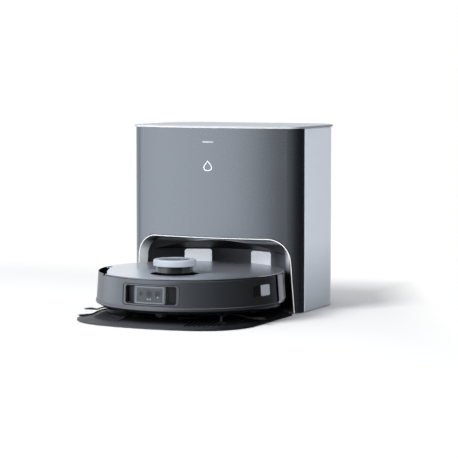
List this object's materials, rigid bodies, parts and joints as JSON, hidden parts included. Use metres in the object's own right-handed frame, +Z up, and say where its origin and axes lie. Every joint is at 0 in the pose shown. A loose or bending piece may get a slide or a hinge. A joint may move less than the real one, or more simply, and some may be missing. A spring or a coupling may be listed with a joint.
{
  "type": "robot vacuum with wash station",
  "caption": "Round robot vacuum with scanner turret, camera bumper, brushes and mop pads, parked on the tray of a tall wash and charging station.",
  "frame": {"origin": "floor level under the centre of the whole object: station plus tray", "axes": "+Z up, -Y towards the tray's front edge where the robot drives out, +X to the viewer's right"},
  "size_m": [0.3776, 0.534, 0.358],
  "materials": {
    "silver_shell": "satin metallic paint",
    "grey_panel": "satin dark metallic paint",
    "bright_trim": "bright plated edge, satin funnel",
    "black_plastic": "fine grain",
    "tray_grey": "satin, ribbed",
    "reflector": "retro-reflecting cells",
    "foot_rubber": "soft grip",
    "light_guide": "diffusing",
    "clear_tank": "translucent",
    "smoke_tank": "dark translucent",
    "inner_part": "moulded",
    "contact_metal": "plated",
    "cover_metal": "fine brushed satin",
    "bumper_grey": "satin metallic paint",
    "shell_grey": "satin metallic paint",
    "dark_glass": "deep gloss",
    "lens_glass": "coated lens",
    "sensor_grey": "frosted",
    "cap_metal": "satin",
    "board_green": "lacquered board",
    "filter_paper": "pleated",
    "brush_rubber": "soft blades",
    "bristle": "nylon strands on a soft hub",
    "tyre": "treaded",
    "mop_cloth": "looped pile",
    "pump_metal": "motor can"
  },
  "bodies": {
    "station": {"ramp_tray": "tray_grey", "station_base": "black_plastic", "rubber_feet": "foot_rubber", "front_panel": "grey_panel", "status_light": "light_guide", "outer_shell": "silver_shell", "arch_trim": "bright_trim", "bay_liner": "black_plastic", "dock_reflectors": "reflector", "tank_deck": "inner_part", "clean_water_tank": "clear_tank", "waste_water_tank": "smoke_tank", "tank_lids": "inner_part", "water_pumps": "pump_metal", "power_supply": "inner_part", "power_inlet": "black_plastic", "dryer_housing": "inner_part", "lid_hinge_rail": "silver_shell"},
    "lid": {"top_lid": "silver_shell"},
    "contacts": {"dock_contacts": "contact_metal"},
    "dryer_fan": {"dryer_impeller": "inner_part"},
    "robot": {"chassis": "black_plastic", "upper_shell": "shell_grey", "camera_housing": "black_plastic", "camera_glass": "dark_glass", "camera_lenses": "lens_glass", "turret_window": "dark_glass", "turret_cap": "cap_metal", "dust_bin": "smoke_tank", "dust_bin_lid": "inner_part", "dust_filter": "filter_paper", "fan_housing": "inner_part", "battery_pack": "black_plastic", "main_board": "board_green", "gear_motors": "inner_part", "brush_guard": "inner_part", "charge_contacts": "contact_metal"},
    "cover": {"top_cover": "cover_metal"},
    "bumper": {"bumper": "bumper_grey", "bumper_bezel": "bumper_grey", "side_sensor_window": "dark_glass", "side_sensor_lens": "sensor_grey"},
    "start_button": {"power_button": "cap_metal"},
    "lidar": {"lidar_rotor": "black_plastic"},
    "suction_fan": {"fan_impeller": "inner_part"},
    "roller": {"main_brush": "brush_rubber"},
    "caster": {"caster_fork": "black_plastic"},
    "caster_roller": {"caster_wheel": "inner_part"},
    "side_brush_left": {"side_brush_left": "bristle"},
    "swing_left": {"suspension_arm_left": "inner_part"},
    "wheel_left": {"wheel_hub_left": "inner_part", "wheel_tyre_left": "tyre"},
    "mop_left": {"mop_plate_left": "inner_part", "mop_pad_left": "mop_cloth"},
    "side_brush_right": {"side_brush_right": "bristle"},
    "swing_right": {"suspension_arm_right": "inner_part"},
    "wheel_right": {"wheel_hub_right": "inner_part", "wheel_tyre_right": "tyre"},
    "mop_right": {"mop_plate_right": "inner_part", "mop_pad_right": "mop_cloth"}
  },
  "joints": [
    {"name": "drive_out", "type": "slide", "parent": "station", "child": "robot", "axis": [0, -1, 0], "range_m": [0, 0.4]},
    {"name": "lid_hinge", "type": "hinge", "parent": "station", "child": "lid", "pos_m": [0, 0.241, 0.354], "axis": [-1, 0, 0], "range_deg": [0, 88]},
    {"name": "contact_press", "type": "slide", "parent": "station", "child": "contacts", "axis": [0, 1, 0], "range_m": [0, 0.003], "stiffness_N_per_m": 300, "springref_m": -0.002},
    {"name": "dryer_spin", "type": "hinge", "parent": "station", "child": "dryer_fan", "pos_m": [0, 0.201, 0.03], "axis": [0, 0, 1], "continuous": true},
    {"name": "cover_lift", "type": "slide", "parent": "robot", "child": "cover", "axis": [0, 0, 1], "range_m": [0, 0.02]},
    {"name": "bumper_press", "type": "slide", "parent": "robot", "child": "bumper", "axis": [0, 1, 0], "range_m": [0, 0.005], "stiffness_N_per_m": 400, "springref_m": -0.002},
    {"name": "button_press", "type": "slide", "parent": "robot", "child": "start_button", "axis": [0, 0, -1], "range_m": [0, 0.001], "stiffness_N_per_m": 1500, "springref_m": -0.001},
    {"name": "lidar_spin", "type": "hinge", "parent": "robot", "child": "lidar", "pos_m": [0, -0.124, 0.0903], "axis": [0, 0, 1], "continuous": true},
    {"name": "suction_fan_spin", "type": "hinge", "parent": "robot", "child": "suction_fan", "pos_m": [0, 0.0344, 0.0603], "axis": [0, 0, 1], "continuous": true},
    {"name": "roller_spin", "type": "hinge", "parent": "robot", "child": "roller", "pos_m": [0, -0.068, 0.0309], "axis": [1, 0, 0], "continuous": true},
    {"name": "caster_swivel", "type": "hinge", "parent": "robot", "child": "caster", "pos_m": [0, -0.188, 0.0403], "axis": [0, 0, 1], "continuous": true},
    {"name": "caster_roll", "type": "hinge", "parent": "caster", "child": "caster_roller", "pos_m": [0, -0.18, 0.0243], "axis": [1, 0, 0], "continuous": true},
    {"name": "side_brush_left_spin", "type": "hinge", "parent": "robot", "child": "side_brush_left", "pos_m": [-0.11205, -0.15496, 0.0193], "axis": [0, 0, 1], "continuous": true},
    {"name": "mop_left_spin", "type": "hinge", "parent": "robot", "child": "mop_left", "pos_m": [-0.066, 0.035, 0.0183], "axis": [0, 0, 1], "continuous": true},
    {"name": "swing_left_lift", "type": "hinge", "parent": "robot", "child": "swing_left", "pos_m": [-0.1, -0.007, 0.0443], "axis": [-1, 0, 0], "range_deg": [0, 6], "stiffness_Nm_per_rad": 2, "springref_deg": -8.59},
    {"name": "wheel_left_spin", "type": "hinge", "parent": "swing_left", "child": "wheel_left", "pos_m": [-0.12, -0.053, 0.0423], "axis": [1, 0, 0], "continuous": true},
    {"name": "side_brush_right_spin", "type": "hinge", "parent": "robot", "child": "side_brush_right", "pos_m": [0.11205, -0.15496, 0.0193], "axis": [0, 0, 1], "continuous": true},
    {"name": "mop_right_spin", "type": "hinge", "parent": "robot", "child": "mop_right", "pos_m": [0.066, 0.035, 0.0183], "axis": [0, 0, 1], "continuous": true},
    {"name": "swing_right_lift", "type": "hinge", "parent": "robot", "child": "swing_right", "pos_m": [0.1, -0.007, 0.0443], "axis": [-1, 0, 0], "range_deg": [0, 6], "stiffness_Nm_per_rad": 2, "springref_deg": -8.59},
    {"name": "wheel_right_spin", "type": "hinge", "parent": "swing_right", "child": "wheel_right", "pos_m": [0.12, -0.053, 0.0423], "axis": [1, 0, 0], "continuous": true}
  ],
  "couplings": [
    {"joint": "wheel_left_spin", "follows": "drive_out", "rad_per_m": 31.25},
    {"joint": "wheel_right_spin", "follows": "drive_out", "rad_per_m": 31.25},
    {"joint": "mop_right_spin", "follows": "mop_left_spin", "ratio": -1}
  ]
}
